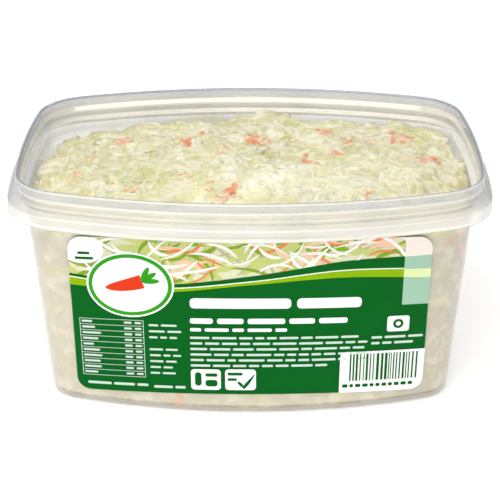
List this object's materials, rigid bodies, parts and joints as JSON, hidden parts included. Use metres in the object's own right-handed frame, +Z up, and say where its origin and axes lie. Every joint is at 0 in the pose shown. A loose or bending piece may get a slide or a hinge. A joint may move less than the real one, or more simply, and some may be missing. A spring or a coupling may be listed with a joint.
{
  "type": "tub of coleslaw",
  "caption": "Open rectangular clear plastic tub with bowed sides and a stepped rim, filled with coleslaw, with a wide label on the front.",
  "frame": {"origin": "middle of the tub's base, on the surface it stands on", "axes": "+X along the tub's long side, -Y out of the labelled front, +Z up"},
  "size_m": [0.17, 0.1192, 0.0856],
  "materials": {
    "clear_plastic": "clear, slightly milky, glossy",
    "salad": "wet and creamy",
    "label": "printed film, satin"
  },
  "bodies": {
    "root": {"tub": "clear_plastic", "salad": "salad", "label": "label"}
  },
  "joints": []
}
